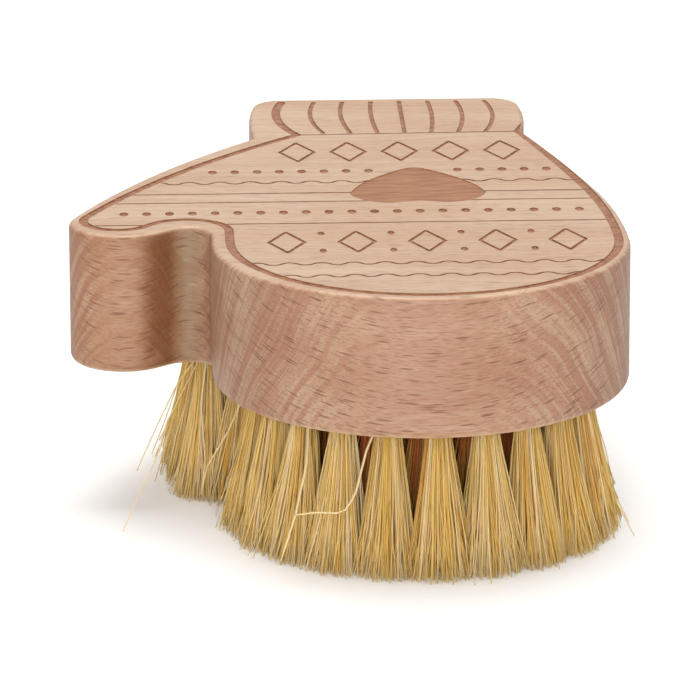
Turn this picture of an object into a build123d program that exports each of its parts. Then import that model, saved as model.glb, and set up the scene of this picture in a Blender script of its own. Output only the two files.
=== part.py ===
# Palm brush: a mitten-shaped block of beech that the hand holds from above, with an
# engraved knitting pattern on its top and bundles of plant fibre set in its underside.
# Millimetres, +Z up. The brush stands on its bristle tips. The origin lies on that plane,
# under the middle of the block: +Y runs from the palm to the cuff, and the thumb is at -X.
from build123d import *
from math import acos, ceil, cos, degrees, floor, radians, sin
import os

# Block
block_length = 120.0
block_thickness = 22.5
bristle_length = 23.5
top_edge_radius = 0.9
under_edge_radius = 1.5

# Outline of the block
palm_radius = 32.6
thumb_radius = 8.5
thumb_rise = 12.5            # centre of the thumb's tip above the centre of the palm's arc
crotch_radius = 3.6          # rounded bottom of the gap between thumb and palm
crotch_angle = 36.0          # fall of the line from the thumb's centre to the gap's centre
crotch_slack_share = 1.03    # distance of those centres, as a share of the two radii
slope_angle = 67.5           # direction of the wrist's slope where it leaves the thumb
wrist_width = 44.3
wrist_offset = -2.25         # middle of the wrist, from the palm's middle
wrist_slant = 3.0            # left corner of the wrist, below its right corner
cuff_lean = 0.9              # left end of the cuff, further in than its left corner
cuff_length = 21.6           # along its right side
cuff_bulge = 1.0
cuff_corner_radius = 4.8
wrist_radius = 2.0           # hollow corner between the cuff and the palm
side_bend_rise_share = 0.475
side_bend_inset_share = 0.28

# Engraved drawing: a second mitten, set a little to the right on the block
groove_depth = 0.18
heart_depth = 0.12
outline_stroke = 1.45
rib_stroke = 0.75
diamond_stroke = 0.6
line_stroke = 0.5
drawn_thumb_shift_x = -0.7
drawn_thumb_shift_y = 0.6
drawn_thumb_radius = 5.5
drawn_crotch_radius = 6.8
drawn_crotch_angle = 32.6
drawn_crotch_slack_share = 1.01
drawn_palm_radius = 30.25
drawn_palm_shift_y = -0.2
drawn_slope_angle = 65.0
drawn_wrist_inset_left = 7.1
drawn_wrist_inset_right = 0.6
drawn_wrist_rise = 1.2       # left end of the line under the cuff, above the block's corner
drawn_cuff_bulge = 3.0
drawn_cuff_lean = 2.0        # how far the left line of the cuff ends out from where it starts
drawn_cuff_slant = 5.8       # the same for the right line, which runs off the cuff's edge

# Ribs of the cuff, bowed outwards from the middle one
rib_count = 7
rib_pitch_top = 4.77
rib_pitch_middle = 5.06
rib_pitch_bottom = 4.47
rib_top_gap = 2.4            # from the cuff's end to the ribs
rib_bottom_gap = 1.0         # from the ribs to the line under the cuff
cuff_line_rise = 0.8         # right end of that line, above its left end
rib_shift = 0.5              # middle rib, from the palm's middle

# Rows of the knitting pattern, measured up from the middle of the palm's arc
diamond_row_rise = 53.0
diamond_count = 5
diamond_pitch = 8.37
diamond_shift = -0.9         # middle of the row, from the palm's middle
diamond_half_width = 2.8
diamond_half_height = 5.8
bead_row_rise = 41.1
bead_pitch = 3.6
bead_width = 1.4
bead_height = 2.3
upper_bead_count = 16
upper_bead_shift = -4.65
bead_gap = 12.6              # bare stretch of that row, around the heart
upper_wave_rise = 34.6
upper_line_rise = 28.05
lower_line_rise = 22.9
long_bead_row_rise = 16.65
long_bead_count = 21
long_bead_shift = -10.1
palm_line_rise = 10.2
palm_diamond_row_rise = -0.7
palm_diamond_pitch = 10.95
palm_diamond_shift = 1.0
small_bead_width = 1.1
small_bead_height = 2.2
small_bead_spread = 9.7
first_palm_wave_rise = -12.8
second_palm_wave_rise = -19.6
wave_length = 4.9
wave_height = 1.25
wave_crest_shift = 3.7
heart_width = 21.7
heart_height = 21.2
heart_shift = 0.9
heart_rise = 21.6            # lowest point of the heart, above the palm's middle
heart_side_shares = [(0.13, 0.977), (0.56, 0.742), (0.89, 0.458), (1.0, 0.273)]
heart_lobe_shares = [(1.0, 0.273), (0.82, 0.088), (0.42, 0.0)]
heart_cleft_share = 0.053
heart_cleft_bend_shares = (0.19, 0.03)

# Tufts: fibres folded over a flat wire in a blind hole, flaring towards their tips
hole_diameter = 4.5
hole_depth = 12.0
hole_clearance = 0.05
side_probe = 0.05            # how far off the ring a point is tried, to tell its outer side
tuft_inset = 7.8             # holes of the outer ring, from the edge of the block
tuft_pitch = 7.5
row_gap = 6.6                # from the outer ring to the nearest inner hole
row_pitch_x = 7.6
row_pitch_y = 7.2
thumb_side_limit = 1.0       # how far the field of tufts reaches past the palm's side
ring_flare = 3.4             # outward lean of the outer ring's tips
hollow_flare = 1.2           # the same where the ring bends inwards and the tips would meet
inner_flare_share = 0.06     # lean of an inner tuft, as a share of its distance from the middle
strands_per_tuft = 5
strand_sides = 4
strand_root_width = 1.1
strand_tip_width = 1.4
strand_root_radius = 1.35    # circle on which a tuft's strands leave the hole
strand_tip_radius = 2.2
tuft_turn = 23.0             # each tuft is turned a little from the one before
strand_embed = 0.6           # how far a strand is fused into the plug of folded fibre
tufts_per_ring_node = 2

# Flat wire that holds a tuft in its hole
wire_thickness = 0.4
wire_height = 1.6
wire_bite = 0.5
wire_clearance = 0.05
wire_from_hole_end = 1.0

cut_overrun = 1.0
full_turn = 360.0


def mitten_centres(thumb, thumb_r, crotch_r, angle, slack_share, palm_r, palm_y):
    """Centres of the gap beside the thumb and of the palm, one chained to the next."""
    reach = (thumb_r + crotch_r) * slack_share
    crotch = Vector(thumb.X + reach * cos(radians(angle)), thumb.Y - reach * sin(radians(angle)))
    palm = Vector(crotch.X + crotch_r + palm_r, palm_y)
    return crotch, palm


def mitten_path(thumb, thumb_r, crotch_r, angle, slack_share, palm_r, palm_y, slope,
                wrist_left, wrist_right):
    """Edges from the right of the wrist round the palm and the thumb to the left of the wrist."""
    crotch, palm = mitten_centres(thumb, thumb_r, crotch_r, angle, slack_share, palm_r, palm_y)
    palm_right = palm + Vector(palm_r, 0)
    bend = Vector(palm_right.X - side_bend_inset_share * (palm_right.X - wrist_right.X),
                  palm_y + side_bend_rise_share * (wrist_right.Y - palm_y))
    low_side = TangentArc(palm_right, bend, tangent=(0, 1))
    high_side = TangentArc(bend, wrist_right, tangent=low_side % 1)
    touch = angle + degrees(acos(1 / slack_share))
    palm_arc = CenterArc(palm, palm_r, 180, 180)
    crotch_arc = CenterArc(crotch, crotch_r, 0, 180 - touch)
    palm_side = Line(palm_arc @ 0, crotch_arc @ 0)
    thumb_arc = CenterArc(thumb, thumb_r, slope + 90, 270 - touch - slope)
    thumb_side = Line(crotch_arc @ 1, thumb_arc @ 1)
    slope_arc = TangentArc(thumb_arc @ 0, wrist_left, tangent=(cos(radians(slope)), sin(radians(slope))))
    return [high_side, low_side, palm_arc, palm_side, crotch_arc, thumb_side, thumb_arc, slope_arc]


# Places on the block, in plan
reach_x = (thumb_radius + crotch_radius) * crotch_slack_share * cos(radians(crotch_angle))
block_width = thumb_radius + reach_x + crotch_radius + 2 * palm_radius
underside = bristle_length
top_face = bristle_length + block_thickness
cuff_end = block_length / 2
wrist_y = cuff_end - cuff_length
palm_x = block_width / 2 - palm_radius
palm_y = palm_radius - block_length / 2
palm_side_x = palm_x - palm_radius
thumb_centre = Vector(thumb_radius - block_width / 2, palm_y + thumb_rise)
wrist_x = palm_x + wrist_offset
wrist_left_point = Vector(wrist_x - wrist_width / 2, wrist_y - wrist_slant)
wrist_right_point = Vector(wrist_x + wrist_width / 2, wrist_y)


def block_outline():
    """The block seen from above, as a face."""
    path = mitten_path(thumb_centre, thumb_radius, crotch_radius, crotch_angle, crotch_slack_share,
                       palm_radius, palm_y, slope_angle, wrist_left_point, wrist_right_point)
    end_left = Vector(wrist_left_point.X + cuff_lean, cuff_end)
    end_right = Vector(wrist_right_point.X, cuff_end)
    bulge = Vector(cuff_bulge, 0)
    right_arc = ThreePointArc(wrist_right_point, (wrist_right_point + end_right) / 2 + bulge, end_right)
    left_arc = ThreePointArc(wrist_left_point, (wrist_left_point + end_left) / 2 - bulge, end_left)
    face = make_face(path + [right_arc, left_arc, Line(end_left, end_right)])
    corners = face.vertices().filter_by_position(Axis.Y, cuff_end, cuff_end)
    face = fillet(corners, cuff_corner_radius)
    wrist_corners = (wrist_left_point, wrist_right_point)
    return fillet([face.vertices().sort_by_distance(point)[0] for point in wrist_corners], wrist_radius)


def stroke(path, width):
    """A line of the drawing as a face with round ends."""
    wire = path if isinstance(path, Wire) else Wire(path)
    return make_face(wire.offset_2d(width / 2).edges())


def diamond(x, y, half_width, half_height, width):
    """An open diamond: the shape drawn out by half a stroke, less the one drawn in by half."""
    corners = [(x - half_width, y), (x, y - half_height), (x + half_width, y), (x, y + half_height)]
    line = Wire(Polyline(*corners, close=True).edges())
    return make_face(line.offset_2d(width / 2).edges()) - make_face(line.offset_2d(-width / 2).edges())


def bead(x, y, width, height):
    return Location((x, y)) * Ellipse(width / 2, height / 2)


def wave(start_x, y, end_x, crest_x):
    """A wavy line of half-wave arcs that keeps a crest at crest_x."""
    half = wave_length / 2
    first = floor((start_x - crest_x) / half - 0.5)
    last = ceil((end_x - crest_x) / half - 0.5)
    arcs = []
    for step in range(first, last):
        left = crest_x + (step + 0.5) * half
        lift = -wave_height / 2 if step % 2 == 0 else wave_height / 2
        arcs.append(ThreePointArc((left, y), (left + half / 2, y + lift), (left + half, y)))
    return Wire(arcs)


def heart(x, y):
    """A heart with its point towards the cuff. y is the height of its two lobes' lowest points."""
    def place(share, side):
        return (x + side * share[0] * heart_width / 2, y + share[1] * heart_height)

    point = (x, y + heart_height)
    edges = [ThreePointArc(place(heart_side_shares[0], -1), point, place(heart_side_shares[0], 1))]
    for side in (-1, 1):
        edges.append(Spline(*[place(share, side) for share in heart_side_shares]))
        edges.append(ThreePointArc(*[place(share, side) for share in heart_lobe_shares]))
        edges.append(ThreePointArc(place(heart_lobe_shares[-1], side), place(heart_cleft_bend_shares, side),
                                   place((0, heart_cleft_share), side)))
    return make_face(edges)


# The drawing
palm_middle = Vector(palm_x, palm_y)
drawn_palm_y = palm_y + drawn_palm_shift_y
drawn_thumb = thumb_centre + Vector(drawn_thumb_shift_x, drawn_thumb_shift_y)
drawn_wrist_left = wrist_left_point + Vector(drawn_wrist_inset_left, drawn_wrist_rise)
drawn_wrist_right = Vector(wrist_right_point.X - drawn_wrist_inset_right, drawn_wrist_left.Y + cuff_line_rise)
drawn_path = mitten_path(drawn_thumb, drawn_thumb_radius, drawn_crotch_radius, drawn_crotch_angle,
                         drawn_crotch_slack_share, drawn_palm_radius, drawn_palm_y, drawn_slope_angle,
                         drawn_wrist_left, drawn_wrist_right)
rib_middle_x = palm_x + rib_shift
rib_top_y = cuff_end - rib_top_gap
rib_bottom_y = drawn_wrist_left.Y + rib_bottom_gap
heart_x = palm_x + heart_shift


def rib(place):
    """One bowed line of the cuff. place counts the ribs from the middle one, which is straight."""
    top = (rib_middle_x + place * rib_pitch_top, rib_top_y)
    middle = (rib_middle_x + place * rib_pitch_middle, (rib_top_y + rib_bottom_y) / 2)
    bottom = (rib_middle_x + place * rib_pitch_bottom, rib_bottom_y)
    return ThreePointArc(top, middle, bottom) if place else Line(top, bottom)


def drawn_outline():
    """The thick line round the drawing, open across the cuff's end."""
    top_left = Vector(drawn_wrist_left.X - drawn_cuff_lean, rib_top_y)
    middle_left = Vector(drawn_wrist_left.X - drawn_cuff_bulge, (rib_top_y + drawn_wrist_left.Y) / 2)
    left = ThreePointArc(drawn_wrist_left, middle_left, top_left)
    right = Line(drawn_wrist_right, (drawn_wrist_right.X + drawn_cuff_slant, rib_top_y))
    return stroke(Wire([right] + drawn_path + [left]), outline_stroke)


def rows_across():
    """Straight and wavy lines, which run from one side of the drawing to the other."""
    low_x, high_x = -block_width / 2, block_width / 2
    faces = []
    for rise in (upper_line_rise, lower_line_rise, palm_line_rise):
        faces.append(stroke(Line((low_x, palm_y + rise), (high_x, palm_y + rise)), line_stroke))
    for rise in (upper_wave_rise, first_palm_wave_rise, second_palm_wave_rise):
        faces.append(stroke(wave(low_x, palm_y + rise, high_x, palm_x + wave_crest_shift), line_stroke))
    inside = make_face(drawn_path + [Line(drawn_wrist_left, drawn_wrist_right)])
    clear = inside - heart(heart_x, palm_y + heart_rise)
    return [face & clear for face in faces]


def beads():
    faces = []
    upper_first = palm_x + upper_bead_shift - (upper_bead_count - 1) / 2 * bead_pitch
    for index in range(upper_bead_count):
        x = upper_first + index * bead_pitch
        if abs(x - heart_x) > bead_gap / 2:
            faces.append(bead(x, palm_y + bead_row_rise, bead_width, bead_height))
    long_first = palm_x + long_bead_shift - (long_bead_count - 1) / 2 * bead_pitch
    for index in range(long_bead_count):
        x = long_first + index * bead_pitch
        faces.append(bead(x, palm_y + long_bead_row_rise, bead_width, bead_height))
    for index in range(diamond_count - 1):
        x = palm_x + palm_diamond_shift + (index + 1 - diamond_count / 2) * palm_diamond_pitch
        for side in (-1, 1):
            y = palm_y + palm_diamond_row_rise + side * small_bead_spread / 2
            faces.append(bead(x, y, small_bead_width, small_bead_height))
    return faces


def diamonds():
    faces = []
    for index in range(diamond_count):
        place = index - (diamond_count - 1) / 2
        for shift, pitch, rise in ((diamond_shift, diamond_pitch, diamond_row_rise),
                                   (palm_diamond_shift, palm_diamond_pitch, palm_diamond_row_rise)):
            faces.append(diamond(palm_x + shift + place * pitch, palm_y + rise,
                                 diamond_half_width, diamond_half_height, diamond_stroke))
    return faces


def engraving():
    """Cutters for the grooves: every line at one depth, the heart a little shallower."""
    ribs = [stroke(rib(index - (rib_count - 1) / 2), rib_stroke) for index in range(rib_count)]
    cuff_line = stroke(Line(drawn_wrist_left, drawn_wrist_right), line_stroke)
    faces = [drawn_outline(), cuff_line] + ribs + rows_across() + beads() + diamonds()
    cutters = [Location((0, 0, top_face - groove_depth)) * extrude(face, amount=groove_depth + cut_overrun)
               for face in faces]
    filled = extrude(heart(heart_x, palm_y + heart_rise), amount=heart_depth + cut_overrun)
    return cutters + [Location((0, 0, top_face - heart_depth)) * filled]


# Tufts
def tuft_places():
    """Holes in plan: a ring that follows the outline, and staggered rows inside it.

    Gives the ring's holes with the lean of each tuft in them, and the rows' holes.
    """
    low_x = palm_side_x - thumb_side_limit
    window_x = (low_x + block_width / 2) / 2
    window = Location((window_x, 0)) * Rectangle(block_width / 2 - low_x, block_length)
    field = (offset(block_outline(), amount=-tuft_inset) & window).faces().sort_by(SortBy.AREA)[-1]
    ring = field.outer_wire()
    count = round(ring.length / tuft_pitch)
    places, outwards = [], []
    for index in range(count):
        place = ring.position_at(index / count)
        tangent = ring.tangent_at(index / count)
        outward = Vector(tangent.Y, -tangent.X)
        if field.is_inside(place + outward * side_probe):
            outward = outward * -1
        places.append(place)
        outwards.append(outward)
    ring_places = []
    for index in range(count):
        after = (index + 1) % count
        opening = (outwards[after] - outwards[index - 1]).dot(places[after] - places[index - 1])
        flare = hollow_flare if opening < -side_probe else ring_flare
        ring_places.append((places[index], outwards[index] * flare))
    rows = []
    for row in range(ceil(-block_length / row_pitch_y), ceil(block_length / row_pitch_y)):
        y = palm_y + row * row_pitch_y
        stagger = (row % 2) / 2
        places = []
        for column in range(ceil(-block_width / row_pitch_x), ceil(block_width / row_pitch_x)):
            place = Vector(palm_x + (column + stagger) * row_pitch_x, y)
            if field.is_inside(place) and ring.distance_to(Vertex(place.X, place.Y, 0)) > row_gap:
                places.append(place)
        if places:
            rows.append(places)
    return ring_places, rows


def strand(root, tip, turn):
    """One strand of a tuft, from inside the plug to the flat cut of the tips at z = 0."""
    wires = []
    for centre, width, z in ((root, strand_root_width, underside + strand_embed), (tip, strand_tip_width, 0)):
        corners = []
        for side in range(strand_sides):
            angle = radians(turn + (side + 0.5) * full_turn / strand_sides)
            reach = width / 2 ** 0.5
            corners.append((centre.X + reach * cos(angle), centre.Y + reach * sin(angle), z))
        wires.append(Wire.make_polygon(corners, close=True))
    return Solid.make_loft(wires, ruled=True)


def tuft(place, lean, turn):
    """Plug of folded fibre in its hole, with the strands that leave it."""
    plug_radius = hole_diameter / 2 - hole_clearance
    plug = Solid.make_cylinder(plug_radius, hole_depth, Plane((place.X, place.Y, underside)))
    strands = []
    for index in range(strands_per_tuft):
        angle = turn + index * full_turn / strands_per_tuft
        ray = Vector(cos(radians(angle)), sin(radians(angle)))
        root = place + ray * strand_root_radius
        strands.append(strand(root, place + lean + ray * strand_tip_radius, angle))
    return plug.fuse(*strands).cut(wire_box(place, hole_clearance))


def wire_box(place, clearance):
    """The flat wire across a hole, or with a clearance the slot that it lies in."""
    box = Solid.make_box(wire_thickness + 2 * clearance, hole_diameter + 2 * (wire_bite + clearance),
                         wire_height + 2 * clearance)
    low_z = underside + hole_depth - wire_from_hole_end - wire_height
    return box.moved(Location((place.X - wire_thickness / 2 - clearance,
                               place.Y - hole_diameter / 2 - wire_bite - clearance, low_z - clearance)))


def block(places):
    """The beech block: rounded along both edges, engraved above and drilled below."""
    body = Location((0, 0, underside)) * extrude(block_outline(), amount=block_thickness)
    body = fillet(body.edges().group_by(Axis.Z)[-1], top_edge_radius)
    body = fillet(body.edges().group_by(Axis.Z)[0], under_edge_radius)
    cutters = engraving()
    for place in places:
        cutters.append(Solid.make_cylinder(hole_diameter / 2, hole_depth + cut_overrun,
                                           Plane((place.X, place.Y, underside - cut_overrun))))
        cutters.append(wire_box(place, wire_clearance))
    return body - cutters


def save(name, shapes):
    solids = [solid for shape in shapes for solid in shape.solids()]
    whole = solids[0] if len(solids) == 1 else Compound(solids)
    export_step(whole, "parts/" + name + ".step")


os.makedirs("parts", exist_ok=True)
ring_places, row_places = tuft_places()
every_place = [place for place, lean in ring_places] + [place for row in row_places for place in row]
strand_count = len(every_place) * strands_per_tuft
print("tufts", len(every_place), "in the ring", len(ring_places), "strands", strand_count)
save("block", [block(every_place)])
save("tuft_wires", [wire_box(place, 0) for place in every_place])

made = 0
for first in range(0, len(ring_places), tufts_per_ring_node):
    group = ring_places[first:first + tufts_per_ring_node]
    tufts = []
    for place, lean in group:
        tufts.append(tuft(place, lean, made * tuft_turn))
        made += 1
    save("ring_tufts_%02d" % (first // tufts_per_ring_node + 1), tufts)
for number, row in enumerate(row_places, 1):
    tufts = []
    for place in row:
        tufts.append(tuft(place, (place - palm_middle) * inner_flare_share, made * tuft_turn))
        made += 1
    save("row_tufts_%02d" % number, tufts)
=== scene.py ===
# %% [markdown]
# # A mitten-shaped palm brush
# A palm brush is a thick wooden block held in the hand, with tufts of plant fibre set in its underside.
# The CAD model gives the block with its engraving, the holes, the wires that anchor the tufts, and each
# tuft as a few plain strands. Here the block and the wires keep their shape and get a finish, and each
# plain tuft is replaced by a full one. Everything is in metres in the frame of the CAD model.

# %% Load the CAD model as the frame
import math

import bpy
import numpy as np
from mathutils import Matrix, Vector


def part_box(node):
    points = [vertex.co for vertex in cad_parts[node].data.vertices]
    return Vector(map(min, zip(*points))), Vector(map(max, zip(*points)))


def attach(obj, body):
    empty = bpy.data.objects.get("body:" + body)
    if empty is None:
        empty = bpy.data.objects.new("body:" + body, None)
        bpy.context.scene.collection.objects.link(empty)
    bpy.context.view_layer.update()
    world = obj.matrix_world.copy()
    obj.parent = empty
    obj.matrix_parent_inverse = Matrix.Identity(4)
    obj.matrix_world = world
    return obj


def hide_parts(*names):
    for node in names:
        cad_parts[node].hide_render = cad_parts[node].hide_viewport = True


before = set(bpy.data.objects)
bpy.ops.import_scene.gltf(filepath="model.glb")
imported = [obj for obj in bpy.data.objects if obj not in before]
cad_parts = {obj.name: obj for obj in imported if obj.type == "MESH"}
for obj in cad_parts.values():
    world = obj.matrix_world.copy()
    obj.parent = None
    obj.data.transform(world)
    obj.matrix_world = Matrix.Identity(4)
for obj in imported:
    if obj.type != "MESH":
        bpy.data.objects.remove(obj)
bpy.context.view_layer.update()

MM = 0.001
block_low, block_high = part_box("block")
print("block from", block_low, "to", block_high)

# %% [markdown]
# ## Camera
# The lower picture was taken from the front, about 17 degrees above the horizon, with a long lens. Its
# place was worked out from the engraved pattern, so the perspective is the picture's own. A camera could
# be turned by hand until it looks right; setting its axes keeps the small tilt of the real one. The lens
# is longer than in the picture, so that the brush fills the frame.

# %% Camera at the photograph's viewing angle
frame_pixels = 691
sensor_width = 36.0
focal_pixels = 3000
enlargement = 2.15
camera_place = Vector((-37.35, -991.53, 320.10)) * MM
view_right = Vector((0.99925, -0.03865, -0.00218))
view_forward = Vector((0.03637, 0.95667, -0.2889))
view_up = view_right.cross(view_forward)
furthest_seen = 20.0

bpy.ops.object.camera_add()
camera = bpy.context.object
camera.name = "camera"
turn = Matrix((view_right, view_up, -view_forward)).transposed()
camera.matrix_world = Matrix.Translation(camera_place) @ turn.to_4x4()
camera.data.sensor_width = sensor_width
camera.data.lens = sensor_width * focal_pixels * enlargement / frame_pixels
camera.data.clip_end = furthest_seen
bpy.context.scene.camera = camera
print("lens", round(camera.data.lens, 1), "mm")

# %% [markdown]
# ## Helpers for materials
# Colours are written as hex codes, as a colour picker shows them, and the shader wants them linear. Every
# material is a tree of nodes, so one small function adds a node, sets it and links it. Given a node as a
# value, it links that node's first output in use. An input goes by its name, or by its number where
# several share a name: a Mix node of colours has its factor at 0 and its two colours at 6 and 7, and
# gives the mixed colour at output 2.

# %% Colour and node helpers
def linear(code):
    """A colour such as "D8BA9B" as linear red, green, blue and alpha."""
    parts = [int(code[i:i + 2], 16) / 255 for i in (0, 2, 4)]
    return tuple(c / 12.92 if c <= 0.04045 else ((c + 0.055) / 1.055) ** 2.4 for c in parts) + (1.0,)


def add_node(tree, kind, sockets=None, **settings):
    """Adds a node. `sockets` maps an input's name or number to a value, an output or a node."""
    node = tree.nodes.new(kind)
    for name, value in settings.items():
        setattr(node, name, value)
    for name, value in (sockets or {}).items():
        if isinstance(value, bpy.types.Node):
            value = next(output for output in value.outputs if output.enabled)
        if isinstance(value, bpy.types.NodeSocket):
            tree.links.new(value, node.inputs[name])
        else:
            node.inputs[name].default_value = value
    return node


def new_material(name):
    """A material of that name, its node tree, and its Principled shader joined to the output."""
    material = bpy.data.materials.new(name)
    material.use_nodes = True
    tree = material.node_tree
    tree.nodes.clear()
    shader = add_node(tree, "ShaderNodeBsdfPrincipled")
    add_node(tree, "ShaderNodeOutputMaterial", {"Surface": shader})
    return material, tree, shader


# %% [markdown]
# ## Studio
# The photograph has a white background and even, soft light. A white world lights everything from all
# sides, and a large lamp above and a lower one in front give the forms a gentle direction. The world looks
# white to the camera and to reflections, and lights the object at a lower strength, so that a colour
# renders about as it is written.

# %% World
world_light = 0.43
white = (1.0, 1.0, 1.0, 1.0)
scene = bpy.context.scene
scene.view_settings.view_transform = "Standard"
world = bpy.data.worlds.new("studio_white")
scene.world = world
world.use_nodes = True
tree = world.node_tree
tree.nodes.clear()
path = add_node(tree, "ShaderNodeLightPath")
seen = path.outputs["Is Camera Ray"]
for ray in ("Is Glossy Ray", "Is Transmission Ray"):
    seen = add_node(tree, "ShaderNodeMath", {0: seen, 1: path.outputs[ray]}, operation="MAXIMUM")
strength = add_node(tree, "ShaderNodeMapRange", {"Value": seen, "To Min": world_light, "To Max": 1.0})
sky = add_node(tree, "ShaderNodeBackground", {"Color": white, "Strength": strength})
add_node(tree, "ShaderNodeOutputWorld", {"Surface": sky})
print("the world lights the brush at", world_light)

# %% Lamps, places and sizes in metres and powers in watts
lamps = (("lamp_above", (0.0, 0.3, 1.6), 1.2, 21.0),
         ("lamp_front", (-0.1, -1.6, 0.20), 0.8, 28.0))
for name, spot, size, power in lamps:
    bpy.ops.object.light_add(type="AREA", location=spot)
    lamp = bpy.context.object
    lamp.name = name
    lamp.data.size = size
    lamp.data.energy = power
    lamp.rotation_euler = (-Vector(spot)).to_track_quat("-Z", "Y").to_euler()
    print(name, power, "W")

# %% [markdown]
# ### Floor
# The floor is matt white paper, which keeps the soft shadow under the brush. Its tooth is drawn about a
# millimetre wide, coarser than real paper's, so that it can show. Brighter lamps would make it as white
# as the photograph's, but would bleach the brush too, so it glows a little for the camera alone.

# %% Lay the floor
floor_width = 8.0
floor_glow = 0.16
tooth_width = 10 / 9 * MM
paper_roughness = 0.9

bpy.ops.mesh.primitive_plane_add(size=floor_width, location=(0, 0, 0))
floor = bpy.context.object
floor.name = "floor"
material, tree, shader = new_material("floor_white_paper")
coords = add_node(tree, "ShaderNodeTexCoord")
tooth = add_node(tree, "ShaderNodeTexNoise", {"Vector": coords.outputs["Object"], "Scale": 1 / tooth_width})
paper = add_node(tree, "ShaderNodeMix", {0: tooth, 6: linear("F5F5F4"), 7: linear("F8F8F7")},
                 data_type="RGBA")
path = add_node(tree, "ShaderNodeLightPath")
glow = add_node(tree, "ShaderNodeMath", {0: path.outputs["Is Camera Ray"], 1: floor_glow},
                operation="MULTIPLY")
tree.links.new(paper.outputs[2], shader.inputs["Base Color"])
tree.links.new(glow.outputs[0], shader.inputs["Emission Strength"])
shader.inputs["Emission Color"].default_value = white
shader.inputs["Roughness"].default_value = paper_roughness
floor.data.materials.append(material)
print("floor", floor_width, "m wide")

# %% [markdown]
# ## The beech block
# The block is cut from one piece of beech, so its grain is a pattern in space: the same ray shows as a
# short dark dash on the front wall, as a softer dash on the top, and as a long line on the end grain. A
# flat pattern laid over each face would break at the edges, so the pattern is built from Object
# coordinates, turned into the three directions of the trunk: along the grain, round the heart of the
# tree, and out from it. The angle round the heart is multiplied by the front wall's distance from it,
# which makes it millimetres there, and the distance outward drifts a little, because no ring is a true
# circle. The grain runs from side to side, and the heart lay above and behind this block, so the rings
# run steeply on both sides of the palm, and from side to side on its front and on its top.

# %% Directions of the trunk, in millimetres
heart_of_trunk = (0.0, 169.0, 135.0)
trunk_distance = 250.0
ring_wander = 4.0
drift_size = 100 / 3

beech, tree, beech_shader = new_material("beech_sanded_and_oiled")
coords = add_node(tree, "ShaderNodeTexCoord")
place = add_node(tree, "ShaderNodeVectorMath", {0: coords.outputs["Object"], "Scale": 1 / MM},
                 operation="SCALE")
drift = add_node(tree, "ShaderNodeTexNoise", {"Vector": place, "Scale": 1 / drift_size, "Detail": 2.0})
wander = add_node(tree, "ShaderNodeMapRange", {"Value": drift, "To Min": -ring_wander, "To Max": ring_wander})
from_heart = add_node(tree, "ShaderNodeVectorMath", {0: place, 1: heart_of_trunk}, operation="SUBTRACT")
offset = add_node(tree, "ShaderNodeSeparateXYZ", {0: from_heart})
across = add_node(tree, "ShaderNodeCombineXYZ", {1: offset.outputs[1], 2: offset.outputs[2]})
radius = add_node(tree, "ShaderNodeVectorMath", {0: across}, operation="LENGTH")
outward = add_node(tree, "ShaderNodeMath", {0: radius, 1: wander}, operation="ADD")
angle = add_node(tree, "ShaderNodeMath", {0: offset.outputs[2], 1: offset.outputs[1]}, operation="ARCTAN2")
around = add_node(tree, "ShaderNodeMath", {0: angle, 1: trunk_distance}, operation="MULTIPLY")
trunk = add_node(tree, "ShaderNodeCombineXYZ", {0: offset.outputs[0], 1: around, 2: outward})
front_wall = Vector((0, block_low.y, (block_low.z + block_high.z) / 2)) / MM
print("front wall", round((front_wall - Vector(heart_of_trunk)).yz.length), "mm from the heart")

# %% [markdown]
# ### Rays
# Rays are thin sheets that run out from the heart, a few millimetres high and a fifth of a millimetre
# thick. A Voronoi pattern squeezed to that shape gives one sheet to a cell. Its edge and its full depth
# are shares of the cell. The cell's own random colour decides how strong the sheet is: a tenth of the
# cells stay empty, and four tenths have their ray in full.

# %% Ray patterns, sizes in millimetres along, around and outward
ray_sizes = ((4.3, 0.42, 7.0), (2.4, 0.24, 4.0))
sheet_edge, sheet_core = 0.38, 0.14
empty_below, full_above = 0.1, 0.6
sheets = []
for size in ray_sizes:
    cell = add_node(tree, "ShaderNodeVectorMath", {0: trunk, 1: [1 / side for side in size]},
                    operation="MULTIPLY")
    voronoi = add_node(tree, "ShaderNodeTexVoronoi", {"Vector": cell, "Scale": 1.0})
    chance = add_node(tree, "ShaderNodeSeparateColor", {0: voronoi.outputs["Color"]})
    kept = add_node(tree, "ShaderNodeMapRange",
                    {"Value": chance, "From Min": empty_below, "From Max": full_above},
                    interpolation_type="SMOOTHSTEP")
    sheet = add_node(tree, "ShaderNodeMapRange",
                     {"Value": voronoi, "From Min": sheet_edge, "From Max": sheet_core},
                     interpolation_type="SMOOTHSTEP")
    sheets.append(add_node(tree, "ShaderNodeMath", {0: sheet, 1: kept}, operation="MULTIPLY"))
rays, fine_rays = sheets
print("ray patterns:", len(sheets))

# %% [markdown]
# ### Rings, pores and patches
# These are soft noises, stretched along the trunk's directions to their real sizes. Growth rings are thin
# outward and long in both other directions, pores are fine streaks along the grain, and broad patches keep
# the wood from looking printed. A fourth noise mottles the burnt heart along the grain.

# %% Soft patterns, sizes in millimetres along, around and outward
soft_patterns = (("ring", (90.0, 45.0, 0.70), 2.5), ("pore", (2.6, 0.22, 0.30), 3.0),
                 ("patch", (50.0, 12.0, 12.0), 3.0), ("burn", (6.0, 0.5, 0.5), 3.0))
soft = {}
for name, size, detail in soft_patterns:
    cell = add_node(tree, "ShaderNodeVectorMath", {0: trunk, 1: [1 / side for side in size]},
                    operation="MULTIPLY")
    soft[name] = add_node(tree, "ShaderNodeTexNoise", {"Vector": cell, "Scale": 1.0, "Detail": detail})
print("soft patterns:", list(soft))

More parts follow.
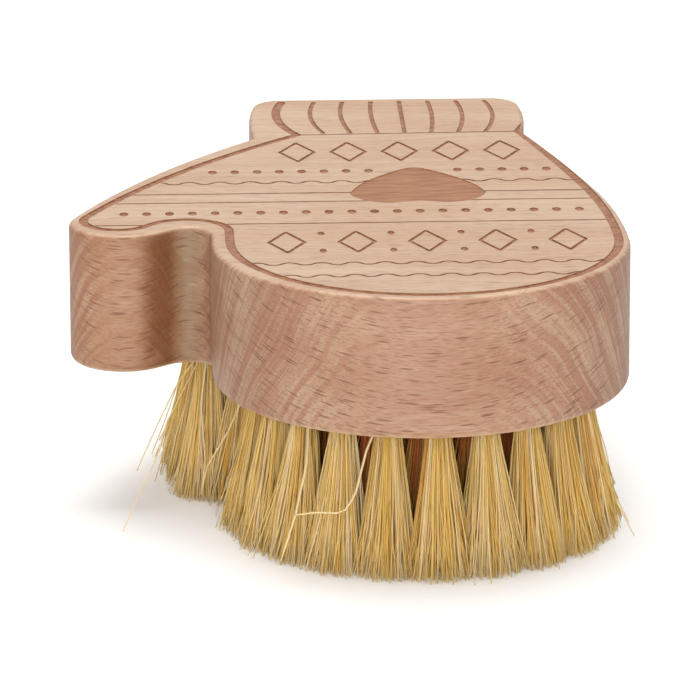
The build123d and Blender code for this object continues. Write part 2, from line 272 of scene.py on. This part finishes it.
# %% [markdown]
# ### Which way the surface faces
# The sanded top and the routed walls take the same patterns differently, so masks are needed: how upright a
# surface is, and how much it faces sideways, where the rings are cut across and show most. Every mask
# below runs from 0 at its first value to 1 at its second, with soft shoulders. In the hollow beside the
# thumb, where shade is painted over the wood, the sideways mask fades out towards its middle. Distances
# there are measured on the plan, with the height left out.

# %% Masks, places and reaches in millimetres
hollow_middle = (-30.0, -21.0, 0.0)
no_rings_within, all_rings_beyond = 5.0, 11.0
on_plan = (1.0, 1.0, 0.0)

geometry = add_node(tree, "ShaderNodeNewGeometry")
facing = add_node(tree, "ShaderNodeSeparateXYZ", {0: geometry.outputs["Normal"]})
tilt = add_node(tree, "ShaderNodeMath", {0: facing.outputs[2]}, operation="ABSOLUTE")
sideways = add_node(tree, "ShaderNodeMath", {0: facing.outputs[0]}, operation="ABSOLUTE")
mask_ends = (("wall", tilt, 0.9, 0.3), ("side", sideways, 0.2, 0.85),
             ("ring", soft["ring"], 0.44, 0.60), ("pale_ring", soft["ring"], 0.46, 0.34),
             ("pore", soft["pore"], 0.48, 0.74), ("pale_pore", soft["pore"], 0.46, 0.26),
             ("patch", soft["patch"], 0.34, 0.66), ("burn", soft["burn"], 0.36, 0.66))
mask = {}
for name, value, start, end in mask_ends:
    mask[name] = add_node(tree, "ShaderNodeMapRange", {"Value": value, "From Min": start, "From Max": end},
                          interpolation_type="SMOOTHSTEP")
plan = add_node(tree, "ShaderNodeVectorMath", {0: place, 1: on_plan}, operation="MULTIPLY")
from_hollow = add_node(tree, "ShaderNodeVectorMath", {0: plan, 1: hollow_middle}, operation="DISTANCE")
outside_hollow = add_node(tree, "ShaderNodeMapRange",
                          {"Value": from_hollow, "From Min": no_rings_within, "From Max": all_rings_beyond},
                          interpolation_type="SMOOTHSTEP")
mask["side"] = add_node(tree, "ShaderNodeMath", {0: mask["side"], 1: outside_hollow}, operation="MULTIPLY")
print("masks:", list(mask))

# %% [markdown]
# ### Ground colour of the wood
# Oiled beech is a pinkish brown. The top is painted paler, as painted light, and the walls darker, as
# painted shade. Each of the two has a pale and a darker tone, which the broad patches mix.

# %% Ground colour, with painted light on the top and painted shade on the walls
ground_tones = (("C4A587", "BA9575"), ("A8886E", "99745A"))
# The top's tones are painted paler as painted light, the walls' tones darker as painted shade.
painted_lit_top, painted_shaded_walls = (add_node(tree, "ShaderNodeMix", {0: mask["patch"], 6: linear(pale), 7: linear(dark)},
                           data_type="RGBA") for pale, dark in ground_tones)
wood = add_node(tree, "ShaderNodeMix", {0: mask["wall"], 6: painted_lit_top, 7: painted_shaded_walls}, data_type="RGBA")
print("ground tones:", ground_tones)

# %% [markdown]
# ### Painted shade beside the thumb
# In the tight hollow between thumb and palm the walls get a golden brown painted shade, the bottom of the
# hollow a greyer painted shade, and the whole thumb is painted a shade browner, as painted shade. Distances
# from upright axes place these marks, so they run straight down the walls. A soft noise keeps them
# blotchy.

# %% Painted shade beside the thumb: middle, where it starts and is full in millimetres, strength and colour
thumb_painted_shade = (((-37.0, -22.0, 0.0), 14.0, 5.0, 0.62, "946A48"),
              ((-29.6, -20.6, 0.0), 5.0, 1.2, 1.0, "6E4424"),
              ((-25.0, -18.6, 0.0), 3.2, 0.5, 0.85, "7A664A"))
blotch_size = 6.25
blotch_start, blotch_full = 0.15, 0.5
blotch = add_node(tree, "ShaderNodeTexNoise", {"Vector": place, "Scale": 1 / blotch_size})
blotch = add_node(tree, "ShaderNodeMapRange",
                  {"Value": blotch, "From Min": blotch_start, "From Max": blotch_full})
# Each mark paints shade on the walls near its middle.
for middle, start, end, strength, code in thumb_painted_shade:
    distance = add_node(tree, "ShaderNodeVectorMath", {0: plan, 1: middle}, operation="DISTANCE")
    near = add_node(tree, "ShaderNodeMapRange", {"Value": distance, "From Min": start, "From Max": end,
                                                 "To Max": strength}, interpolation_type="SMOOTHSTEP")
    near = add_node(tree, "ShaderNodeMath", {0: near, 1: blotch}, operation="MULTIPLY")
    near = add_node(tree, "ShaderNodeMath", {0: near, 1: mask["wall"]}, operation="MULTIPLY")
    wood = add_node(tree, "ShaderNodeMix", {0: near, 6: wood, 7: linear(code)}, data_type="RGBA")
print("burn marks:", len(thumb_painted_shade))

# %% [markdown]
# ### Layers of grain
# Over the ground go the rings, the pores and the rays. Each layer has one strength on the top, and adds to
# it on the walls or on the sides, where the router cut across the fibres.

# %% Grain: pattern, where it is stronger, strength on the top, what is added there, and colour
grain_layers = ((mask["ring"], mask["side"], 0.20, 0.58, "905E48"),
                (mask["pale_ring"], mask["side"], 0.08, 0.16, "C2A286"),
                (mask["pale_pore"], mask["wall"], 0.10, 0.08, "C8A88C"),
                (mask["pore"], mask["wall"], 0.28, 0.52, "8A5C40"),
                (fine_rays, mask["wall"], 0.22, 0.48, "7E5038"),
                (rays, mask["wall"], 0.35, 0.50, "6C412B"))
for pattern, stronger, on_top, added, code in grain_layers:
    strength = add_node(tree, "ShaderNodeMapRange",
                        {"Value": stronger, "To Min": on_top, "To Max": on_top + added})
    share = add_node(tree, "ShaderNodeMath", {0: pattern, 1: strength}, operation="MULTIPLY")
    wood = add_node(tree, "ShaderNodeMix", {0: share, 6: wood, 7: linear(code)}, data_type="RGBA")
print("grain layers:", len(grain_layers))

# %% [markdown]
# ### Where the engraving is
# A laser cut the pattern into the top. The engraving is real depth in the CAD model, so its colour needs
# no drawing of its own: what lies a little below the flat top and faces straight up is the floor of a line
# or of the heart, and what lies there and stands upright is a line's wall. The rounded rim lies at the
# same depth but faces neither way.

# %% Masks of the engraving, depths in millimetres
groove_depth, heart_depth = 0.18, 0.12
below_grooves = 0.1
just_below_top = 0.01
level_start, level_full = 0.93, 0.97
upright_start, upright_full = 0.5, 0.3

height = add_node(tree, "ShaderNodeSeparateXYZ", {0: place})
depth = add_node(tree, "ShaderNodeMath", {0: block_high.z / MM, 1: height.outputs[2]}, operation="SUBTRACT")
in_reach = add_node(tree, "ShaderNodeMath", {0: depth, 1: groove_depth + below_grooves},
                    operation="LESS_THAN")
level = add_node(tree, "ShaderNodeMapRange",
                 {"Value": facing.outputs[2], "From Min": level_start, "From Max": level_full})
upright = add_node(tree, "ShaderNodeMapRange",
                   {"Value": facing.outputs[2], "From Min": upright_start, "From Max": upright_full})
engraved = []
for least, turned in ((heart_depth / 2, level), ((groove_depth + heart_depth) / 2, level),
                      (just_below_top, upright)):
    deep = add_node(tree, "ShaderNodeMath", {0: depth, 1: least}, operation="GREATER_THAN")
    deep = add_node(tree, "ShaderNodeMath", {0: deep, 1: in_reach}, operation="MULTIPLY")
    engraved.append(add_node(tree, "ShaderNodeMath", {0: deep, 1: turned}, operation="MULTIPLY"))
heart, line, line_wall = engraved
print("engraved parts:", len(engraved))

# %% [markdown]
# ### The burnt colour
# The laser burnt the wood brown. The lines are deeper and darker than the shallow heart, mottled with
# char, and darkest where they cross a ray. A line's wall caught only part of the burn, so it keeps more
# than half of the wood's own colour.

# %% Colours of the engraving, sizes in millimetres
char_size = 10 / 9
char_start, char_full = 0.38, 0.66
ray_shows = 0.55
unburnt_wall = 0.60

char = add_node(tree, "ShaderNodeTexNoise", {"Vector": place, "Scale": 1 / char_size, "Detail": 3.0})
char = add_node(tree, "ShaderNodeMapRange", {"Value": char, "From Min": char_start, "From Max": char_full})
crossed = add_node(tree, "ShaderNodeMath", {0: rays, 1: ray_shows}, operation="MULTIPLY")
heart_tone = add_node(tree, "ShaderNodeMix", {0: mask["burn"], 6: linear("A6714A"), 7: linear("85532F")},
                      data_type="RGBA")
line_tone = add_node(tree, "ShaderNodeMix", {0: char, 6: linear("A26E4A"), 7: linear("7E4C2E")},
                     data_type="RGBA")
line_tone = add_node(tree, "ShaderNodeMix", {0: crossed, 6: line_tone, 7: linear("5E3419")},
                     data_type="RGBA")
wall_tone = add_node(tree, "ShaderNodeMix", {0: unburnt_wall, 6: line_tone, 7: wood}, data_type="RGBA")
for part, tone in ((line_wall, wall_tone), (heart, heart_tone), (line, line_tone)):
    wood = add_node(tree, "ShaderNodeMix", {0: part, 6: wood, 7: tone}, data_type="RGBA")
print("beech has", len(tree.nodes), "nodes for its colour")

# %% [markdown]
# ### The wood's surface
# Pores and rays are a few hundredths of a millimetre deep. The oil leaves a soft sheen, which is stronger
# on the sanded top than on the routed walls, and the wood is a little rougher where its pores lie. The
# burnt floors of heart and lines are dry and stay duller.

# %% Surface of the wood
pore_depth, pore_strength = 0.04 * MM, 0.3
smooth, rough = 0.40, 0.58
sheen_on_top, sheen_on_walls = 0.65, 0.40
burnt_sheen = 0.4

pores_and_rays = add_node(tree, "ShaderNodeMath", {0: mask["pore"], 1: rays}, operation="MAXIMUM")
bump = add_node(tree, "ShaderNodeBump",
                {"Strength": pore_strength, "Distance": pore_depth, "Height": pores_and_rays}, invert=True)
roughness = add_node(tree, "ShaderNodeMapRange", {"Value": soft["pore"], "To Min": smooth, "To Max": rough})
sheen = add_node(tree, "ShaderNodeMapRange",
                 {"Value": mask["wall"], "To Min": sheen_on_top, "To Max": sheen_on_walls})
dry = add_node(tree, "ShaderNodeMapRange", {"Value": heart, "To Min": 1.0, "To Max": burnt_sheen})
sheen = add_node(tree, "ShaderNodeMath", {0: sheen, 1: dry}, operation="MULTIPLY")
tree.links.new(wood.outputs[2], beech_shader.inputs["Base Color"])
tree.links.new(roughness.outputs[0], beech_shader.inputs["Roughness"])
tree.links.new(bump.outputs[0], beech_shader.inputs["Normal"])
tree.links.new(sheen.outputs[0], beech_shader.inputs["Specular IOR Level"])
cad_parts["block"].material_slots[0].material = beech
print("beech has", len(tree.nodes), "nodes")

# %% [markdown]
# ## The anchor wires
# A short flat steel wire is driven into each hole over the folded fibres. It is drawn wire, so fine lines
# run along it. It lies deep in its hole behind the fibres, and keeps its CAD shape.

# %% Wire finish, line sizes in millimetres across, along and across
line_sizes = (0.08, 10 / 7, 0.08)
line_depth, line_strength = 0.02 * MM, 0.2
bright, matt = 0.25, 0.45

wire, tree, shader = new_material("steel_wire_drawn_flat")
coords = add_node(tree, "ShaderNodeTexCoord")
cell = add_node(tree, "ShaderNodeVectorMath",
                {0: coords.outputs["Object"], 1: [1 / (side * MM) for side in line_sizes]},
                operation="MULTIPLY")
lines = add_node(tree, "ShaderNodeTexNoise", {"Vector": cell, "Scale": 1.0, "Detail": 3.0})
steel = add_node(tree, "ShaderNodeMix", {0: lines, 6: linear("8E8E8C"), 7: linear("B9B8B4")},
                 data_type="RGBA")
roughness = add_node(tree, "ShaderNodeMapRange", {"Value": lines, "To Min": bright, "To Max": matt})
bump = add_node(tree, "ShaderNodeBump",
                {"Strength": line_strength, "Distance": line_depth, "Height": lines})
tree.links.new(steel.outputs[2], shader.inputs["Base Color"])
tree.links.new(roughness.outputs[0], shader.inputs["Roughness"])
tree.links.new(bump.outputs[0], shader.inputs["Normal"])
shader.inputs["Metallic"].default_value = 1.0
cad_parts["tuft_wires"].material_slots[0].material = wire
print("wire has", len(tree.nodes), "nodes")

# %% [markdown]
# ## One fibre
# The brush is filled with a stiff plant fibre, about a quarter of a millimetre thick, cut to length and a
# little thinner at its tip. Thousands of them show, so a fibre may have only a few faces: three sides,
# shaded round. It is modelled once from a cylinder, cut across and narrowed towards the tip. The few stray
# ones that bend get more cuts.

# %% Model one fibre
fibre_radius = 0.125 * MM
fibre_length = 24.5 * MM
fibre_sides = 3
tip_share = 0.72
lengths_in_tuft, lengths_in_stray = 4, 14


def model_fibre(lengths):
    """Points, faces and share of the length along, for a fibre cut across into that many lengths."""
    bpy.ops.object.select_all(action="DESELECT")
    bpy.ops.mesh.primitive_cylinder_add(vertices=fibre_sides, radius=fibre_radius, depth=fibre_length,
                                        location=(0, 0, -fibre_length / 2), end_fill_type="NGON")
    fibre = bpy.context.object
    bpy.ops.object.transform_apply(location=True, rotation=True, scale=True)
    bpy.ops.object.mode_set(mode="EDIT")
    for cut in range(1, lengths):
        bpy.ops.mesh.select_all(action="SELECT")
        bpy.ops.mesh.bisect(plane_co=(0, 0, -fibre_length * cut / lengths), plane_no=(0, 0, 1))
    for cut in range(lengths + 1):
        level = -fibre_length * cut / lengths
        bpy.ops.mesh.select_all(action="DESELECT")
        bpy.ops.object.mode_set(mode="OBJECT")
        for vertex in fibre.data.vertices:
            vertex.select = abs(vertex.co.z - level) < fibre_radius / 10
        bpy.ops.object.mode_set(mode="EDIT")
        narrow = 1 - (1 - tip_share) * (cut / lengths) ** 2
        bpy.ops.transform.resize(value=(narrow, narrow, 1), center_override=(0, 0, level))
    bpy.ops.mesh.select_all(action="SELECT")
    bpy.ops.mesh.normals_make_consistent(inside=False)
    bpy.ops.object.mode_set(mode="OBJECT")
    points = np.array([tuple(v.co) for v in fibre.data.vertices])
    faces = [tuple(p.vertices) for p in fibre.data.polygons]
    bpy.data.objects.remove(fibre)
    return points, faces, -points[:, 2] / fibre_length


fibre_points, fibre_faces, fibre_along = model_fibre(lengths_in_tuft)
print("one fibre:", len(fibre_points), "points,", len(fibre_faces), "faces")

# %% [markdown]
# ## Where the tufts are
# Each CAD tuft is a round plug in its hole with a few strands below it. The middle of the plug's top is the
# middle of the hole, and the middle of the strands' tips is where the tuft leans to. Reading both from the
# CAD node keeps the full tufts where the plain ones are. Points of one plug's top lie closer together than
# those of two plugs, so a group grows from point to point until nothing near is left.

# %% Read the tufts of a CAD node
level_slack = 0.05 * MM
plug_gap = 1.5 * MM


def tufts_of(node):
    """For each tuft of a CAD node: the middle of its hole, and the middle of its tips, in metres."""
    points = [vertex.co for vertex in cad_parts[node].data.vertices]
    top_level = max(p.z for p in points) - level_slack
    left = [p for p in points if p.z > top_level]
    holes = []
    while left:
        group = [left.pop()]
        for p in group:
            near = [q for q in left if (q - p).length < plug_gap]
            left = [q for q in left if (q - p).length >= plug_gap]
            group.extend(near)
        middle = [(min(p[i] for p in group) + max(p[i] for p in group)) / 2 for i in (0, 1)]
        holes.append(Vector(middle))
    tips = {i: [] for i in range(len(holes))}
    for p in points:
        if p.z < level_slack:
            nearest = min(range(len(holes)), key=lambda i: (holes[i] - p.xy).length)
            tips[nearest].append(p.xy)
    return [(hole, sum(tips[i], Vector((0, 0))) / len(tips[i])) for i, hole in enumerate(holes)]


tuft_nodes = sorted(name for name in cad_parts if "_tufts_" in name)
print("nodes of tufts:", len(tuft_nodes))

# %% [markdown]
# ## Full tufts
# Some 170 fibres are folded into each hole, and their 340 ends stand out of it, packed in a round bundle
# that opens like a fan until it meets its neighbours. Setting every fibre by hand would take days and a
# particle system gives hairs that aren't a mesh, so the one fibre is copied along a line of its own for
# each end. First come the two ends of each line. The starts are spread evenly over the bundle by the
# golden angle, as seeds are in a sunflower. A tuft of the ring leans out from the brush, and on that side
# it opens less. A few fibres spring wild, the ends are cut a little unevenly, and a few broke off short.

# %% Ends of the fibres of one tuft
fibres_per_tuft = 340
bundle_radius, fan_radius = 1.65 * MM, 5.2 * MM
fan_scatter, tuft_widths = 0.10, (0.92, 1.06)
ring_lean, held_in = 3.4 * MM, 0.38
tip_scatter, cut_scatter = 0.30 * MM, 0.60 * MM
wild_share, wild_reach = 0.04, 1.6 * MM
broken_share, most_broken = 0.06, 3 * MM
root_level = block_low.z + 1.0 * MM
floor_gap = 0.03 * MM
golden_turn = 3 - math.sqrt(5)
dice = np.random.default_rng(11)


def lay_ends(hole, tip):
    """Start and stop of each fibre of a tuft, its angle in the bundle and its share of the radius."""
    count = fibres_per_tuft
    order = np.arange(count) + 0.5
    angle = order * math.pi * golden_turn + dice.uniform(0, 2 * math.pi)
    share = np.sqrt(order / count)
    inner = np.stack([np.cos(angle), np.sin(angle)], 1)
    root = np.array(hole) + inner * (share * bundle_radius)[:, None]
    spread = share * fan_radius * dice.normal(1, fan_scatter, count) * dice.uniform(*tuft_widths)
    fan = inner * spread[:, None]
    lean = np.array(tip - hole) / ring_lean
    fan -= lean * held_in * np.maximum(fan @ lean, 0)[:, None]
    end = np.array(tip) + fan + dice.normal(0, tip_scatter, (count, 2))
    wild = dice.normal(0, wild_reach, (count, 2)) * (dice.random((count, 1)) < wild_share)
    end = np.clip(end + wild, block_low.xy, block_high.xy)
    short = np.abs(dice.normal(0, cut_scatter, count))
    short = short + (dice.random(count) < broken_share) * dice.uniform(0, most_broken, count)
    start = np.column_stack([root, np.full(count, root_level)])
    stop = np.column_stack([end, floor_gap + short])
    return start, stop, angle, share


print("a tuft opens from", bundle_radius / MM, "to", fan_radius / MM, "mm round its middle")

# %% [markdown]
# ### Bends and shades
# Between its ends a fibre fans out more and more, bows once and waves a little, and each one is turned
# about its own length and has its own thickness. Its shade goes from 0, dark gold, to 1, cream. Neighbours
# share some of it, in broad and narrow locks round the tuft, which gives the soft light and dark strands of
# a real one. Towards the roots the shade is lowered as painted shade, most of all inside the brush, where
# little light comes in.

# %% Bend and shade the fibres of one tuft
fan_curve = 1.4
bow_reach = 0.40 * MM
wave_reach, waves = 0.13 * MM, 1.4
thin, thick = 0.75, 1.25
usual_shade, fibre_change, tuft_change = 0.62, 0.09, 0.04
broad_locks, broad_change, broad_twist = 5, 0.16, 9
narrow_locks, narrow_change = 9, 0.10
# How much painted shade darkens the roots, in the ring's tufts and in the inner rows
ring_painted_shade, row_painted_shade = 0.08, 0.85


def bend_fibres(start, stop):
    """The points of a tuft's fibres, from their starts to their stops, and the phase of each wave."""
    count = len(start)
    bow = np.column_stack([dice.normal(0, bow_reach, (count, 2)), np.zeros(count)])
    wave = np.column_stack([dice.normal(0, wave_reach, (count, 2)), np.zeros(count)])
    phase = dice.uniform(0, 2 * math.pi, count)
    s = fibre_along[None, :, None]
    opened = np.concatenate([s ** fan_curve, s ** fan_curve, s], axis=2)
    line = start[:, None] + (stop - start)[:, None] * opened + bow[:, None] * 4 * s * (1 - s)
    line = line + wave[:, None] * np.sin(2 * math.pi * waves * s + phase[:, None, None]) * s
    roll = dice.uniform(0, 2 * math.pi, count)
    girth = dice.uniform(thin, thick, count)
    cos, sin = np.cos(roll) * girth, np.sin(roll) * girth
    x, y = fibre_points[:, 0], fibre_points[:, 1]
    line[:, :, 0] += cos[:, None] * x - sin[:, None] * y
    line[:, :, 1] += sin[:, None] * x + cos[:, None] * y
    return line, phase


def lay_tuft(hole, tip, painted_root_shade):
    """Points, shades and distances along for the fibres of one tuft."""
    start, stop, angle, share = lay_ends(hole, tip)
    line, phase = bend_fibres(start, stop)
    locks = (broad_change * np.sin(broad_locks * angle + broad_twist * share + phase[0])
             + narrow_change * np.sin(narrow_locks * angle + phase[1]))
    shade = dice.normal(usual_shade, fibre_change, len(angle)) + locks + dice.normal(0, tuft_change)
    # Painted shade: the shade is lowered towards the root
    shade = np.clip(shade[:, None] - painted_root_shade * (1 - fibre_along), 0, 1)
    return line.reshape(-1, 3), shade.ravel(), np.tile(fibre_along, len(angle))


# %% [markdown]
# ### Pieces
# Each CAD node of plain tufts gets one piece of full ones. Every copy of the fibre carries its own shade
# and how far along it a point is, for the material to read. The sides are shaded round and the cut ends
# flat.

# %% Build one piece of tufts for each CAD node
def build_piece(name, points, faces, shade, along):
    """A mesh object with the two attributes that the fibre material reads."""
    mesh = bpy.data.meshes.new(name)
    mesh.from_pydata(points.tolist(), [], faces)
    mesh.polygons.foreach_set("use_smooth", [len(face) > fibre_sides for face in faces])
    for key, values in (("shade", shade), ("along", along)):
        mesh.attributes.new(key, "FLOAT", "POINT").data.foreach_set("value", values.astype(np.float32))
    piece = bpy.data.objects.new(name, mesh)
    scene.collection.objects.link(piece)
    return piece


def repeated(faces, step, copies):
    """The faces of that many copies of a fibre with `step` points."""
    return [tuple(i + copy * step for i in face) for copy in range(copies) for face in faces]


def lay_node(node):
    """One piece of full tufts for a CAD node of plain ones."""
    painted_root_shade = ring_painted_shade if node.startswith("ring") else row_painted_shade
    laid = [lay_tuft(hole, tip, painted_root_shade) for hole, tip in tufts_of(node)]
    points, shade, along = (np.concatenate(parts) for parts in zip(*laid))
    faces = repeated(fibre_faces, len(fibre_points), len(laid) * fibres_per_tuft)
    return build_piece(node.replace("tufts", "fibres"), points, faces, shade, along)


pieces = {node: lay_node(node) for node in tuft_nodes}
print(len(pieces), "pieces of fibres,", sum(len(p.data.polygons) for p in pieces.values()), "faces")

# %% [markdown]
# ## Stray fibres
# Six fibres of the photograph have come out of line: two hang out to the left below the thumb, two stand
# off the tufts beside them, and two thick ones cross the tufts in front, one of them bent level where it
# is caught. Each starts in its tuft and follows a few points, and the fibre's three sides are set square to
# the path, so that it keeps its thickness where it runs level. The path's direction at a point is taken
# from a little before it to a little after it.

# %% Lay the stray fibres: times the usual thickness, and a path in millimetres
stray_paths = (
    (1.0, ((-22.5, -12.0, 24.3), (-26.9, -14.0, 19.0), (-30.5, -14.5, 11.5), (-33.5, -14.0, 4.5))),
    (1.0, ((-22.5, -13.0, 24.3), (-28.6, -24.0, 16.0), (-30.2, -28.0, 11.7), (-35.9, -37.0, 2.0))),
    (1.3, ((-22.0, -13.0, 24.3), (-23.2, -15.5, 16.0), (-22.6, -17.0, 7.0), (-23.2, -18.0, 2.5))),
    (1.3, ((-14.5, -23.0, 24.3), (-19.2, -24.5, 14.0), (-22.6, -24.5, 8.2), (-23.4, -25.0, 4.0))),
    (1.7, ((-7.0, -45.6, 24.3), (-7.6, -51.5, 17.5), (-9.5, -56.0, 10.6), (-11.8, -57.0, 3.6))),
    (1.6, ((3.4, -52.4, 24.3), (1.4, -55.0, 20.5), (-0.4, -57.0, 14.0), (-2.3, -57.0, 11.1),
           (-6.0, -57.0, 11.4), (-9.8, -56.5, 10.8))))
stray_shade = 0.8
a_little = 0.03
stray_points, stray_faces, stray_along = model_fibre(lengths_in_stray)


def at_share(path, share):
    """Points of a path at those shares of its length."""
    steps = np.linalg.norm(np.diff(path, axis=0), axis=1)
    reached = np.concatenate([[0], np.cumsum(steps)]) / steps.sum()
    return np.column_stack([np.interp(share, reached, path[:, axis]) for axis in range(3)])


laid = []
for times, corners in stray_paths:
    path = np.array(corners) * MM
    ahead = at_share(path, stray_along + a_little) - at_share(path, stray_along - a_little)
    side = np.cross(ahead, (0, 1, 0))
    side /= np.linalg.norm(side, axis=1)[:, None]
    up = np.cross(side, ahead)
    up /= np.linalg.norm(up, axis=1)[:, None]
    girth = stray_points * times
    laid.append(at_share(path, stray_along) + side * girth[:, :1] + up * girth[:, 1:2])
stray_count = len(stray_paths)
strays = build_piece("stray_fibres", np.concatenate(laid),
                     repeated(stray_faces, len(stray_points), stray_count),
                     np.full(stray_count * len(stray_points), stray_shade),
                     np.tile(stray_along, stray_count))
print(stray_count, "stray fibres,", len(strays.data.polygons), "faces")

# %% [markdown]
# ## Fibre finish
# The fibre is straw yellow, from pale cream to dark gold from one fibre to the next, browner at the root
# with the painted shade that each fibre carries, and paler at the cut tip. Fine streaks run along it, as in
# any leaf fibre. A ramp turns the shade that each fibre carries into its colour, and two layers over it add
# the streaks and the tip.

# %% Fibre colour, streak sizes in millimetres across, across and along
streak_sizes = (0.125, 0.125, 2.5)
# The darkest tones are reached mostly at the roots of the inner rows, through their painted shade
darkest, palest = "E0884C", "FFFBF0"
shades_between = ((0.16, "DCA24C"), (0.34, "E8C45C"), (0.56, "F8E59A"), (0.8, "FEF6D6"))

straw, tree, shader = new_material("plant_fibre_cut_and_combed")
shade = add_node(tree, "ShaderNodeAttribute", attribute_name="shade")
along = add_node(tree, "ShaderNodeAttribute", attribute_name="along")
coords = add_node(tree, "ShaderNodeTexCoord")
cell = add_node(tree, "ShaderNodeVectorMath",
                {0: coords.outputs["Object"], 1: [1 / (side * MM) for side in streak_sizes]},
                operation="MULTIPLY")
streaks = add_node(tree, "ShaderNodeTexNoise", {"Vector": cell, "Scale": 1.0})
ramp = add_node(tree, "ShaderNodeValToRGB", {0: shade.outputs["Fac"]})
ramp.color_ramp.elements[0].color = linear(darkest)
ramp.color_ramp.elements[1].color = linear(palest)
for at, code in shades_between:
    ramp.color_ramp.elements.new(at).color = linear(code)
colour = ramp
for value, start, end, strength, code in ((streaks, 0.4, 0.7, 0.30, "C29244"),
                                          (along.outputs["Fac"], 0.88, 1.0, 0.30, "E4D4AC")):
    share = add_node(tree, "ShaderNodeMapRange", {"Value": value, "From Min": start, "From Max": end,
                                                  "To Max": strength}, interpolation_type="SMOOTHSTEP")
    colour = add_node(tree, "ShaderNodeMix", {0: share, 6: colour, 7: linear(code)}, data_type="RGBA")
print("shades of straw:", len(ramp.color_ramp.elements))

# %% [markdown]
# ### Light through the fibre
# The fibre has a low waxy shine and lets much of the light through, which is what makes a tuft glow rather
# than look like wire. Light that comes through a root darkened by painted shade is redder than light
# through a pale fibre, so the gaps between the tufts look a warm brown.

# %% Fibre surface
waxy_roughness = 0.5
pale_from = 0.3
light_through = 0.62
through_dark, through_pale = "F09C62", "FFEDBC"

tree.links.new(colour.outputs[2], shader.inputs["Base Color"])
shader.inputs["Roughness"].default_value = waxy_roughness
pale = add_node(tree, "ShaderNodeMapRange", {"Value": shade.outputs["Fac"], "From Max": pale_from})
through = add_node(tree, "ShaderNodeMix", {0: pale, 6: linear(through_dark), 7: linear(through_pale)},
                   data_type="RGBA")
glow = add_node(tree, "ShaderNodeBsdfTranslucent", {"Color": through})
both = add_node(tree, "ShaderNodeMixShader", {0: light_through, 1: shader, 2: glow})
output = next(node for node in tree.nodes if node.type == "OUTPUT_MATERIAL")
tree.links.new(both.outputs[0], output.inputs["Surface"])
print("straw has", len(tree.nodes), "nodes")

# %% [markdown]
# ## Put the full tufts in place
# Each piece takes the place of its CAD node, which stays hidden for physics, and rides on the one body of
# the brush. The stray fibres stand for no node and only ride with it.

# %% Replace the plain tufts
for node, piece in pieces.items():
    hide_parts(node)
for piece in (*pieces.values(), strays):
    piece.data.materials.append(straw)
    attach(piece, "root")
print("replaced", len(pieces), "nodes")
